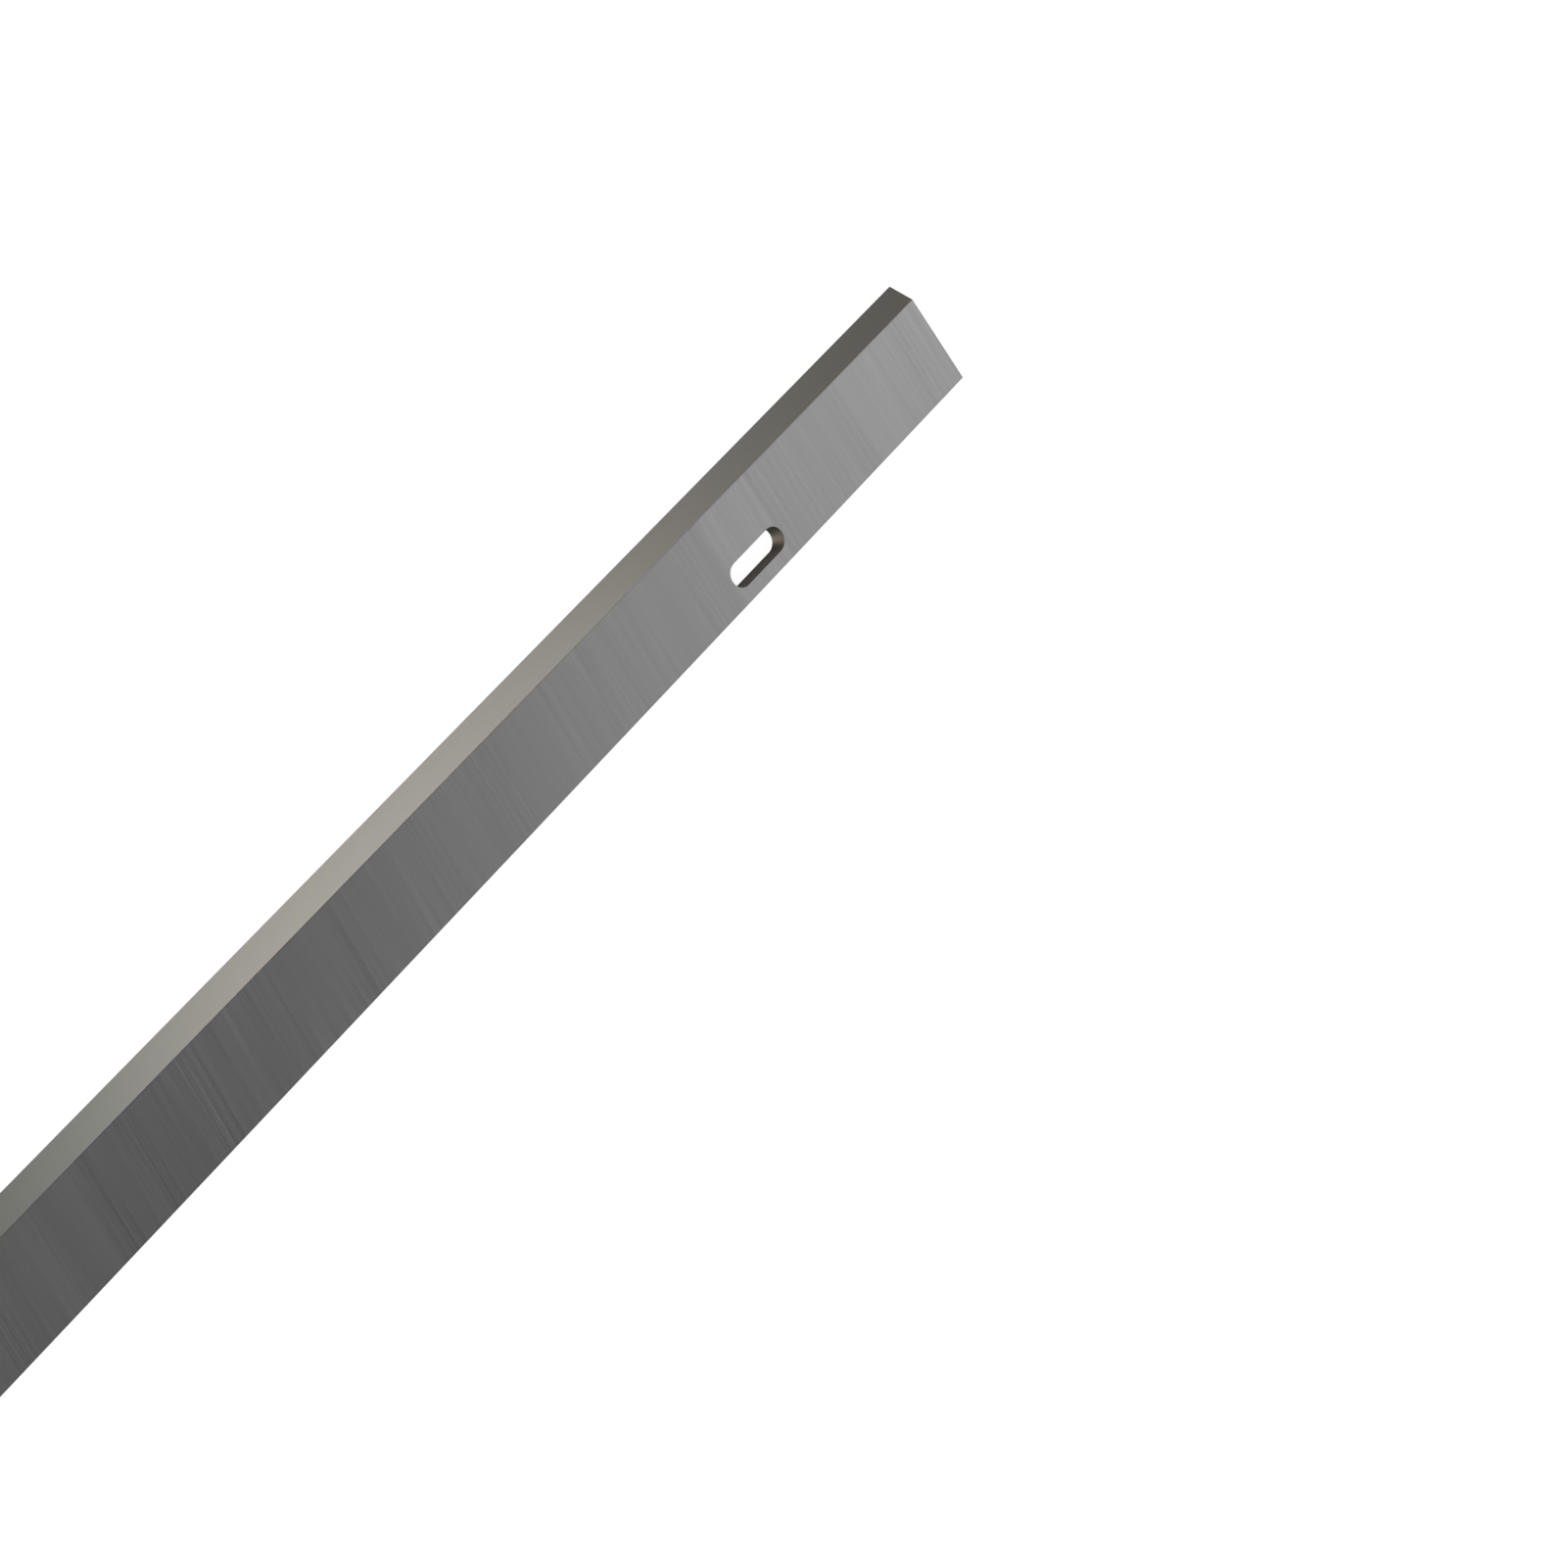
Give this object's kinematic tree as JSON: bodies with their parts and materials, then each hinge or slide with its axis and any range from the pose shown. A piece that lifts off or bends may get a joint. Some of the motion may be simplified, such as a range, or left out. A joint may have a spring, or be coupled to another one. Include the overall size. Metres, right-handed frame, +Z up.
{
  "type": "planer knife",
  "caption": "Straight steel planer knife: a thin flat bar with one ground bevel along its cutting edge and round-ended slots near its ends for setting screws.",
  "frame": {"origin": "on the resting plane, under the middle of the bar's length and width", "axes": "+X along the bar and its cutting edge, +Y across the bar from the back edge to the cutting edge, +Z up out of the face that has the bevel"},
  "size_m": [0.318, 0.019, 0.0032],
  "materials": {
    "steel": "ground across the width, with fine grinding lines on the faces, a smoother bevel and bare slot walls"
  },
  "bodies": {
    "root": {"knife": "steel"}
  },
  "joints": []
}
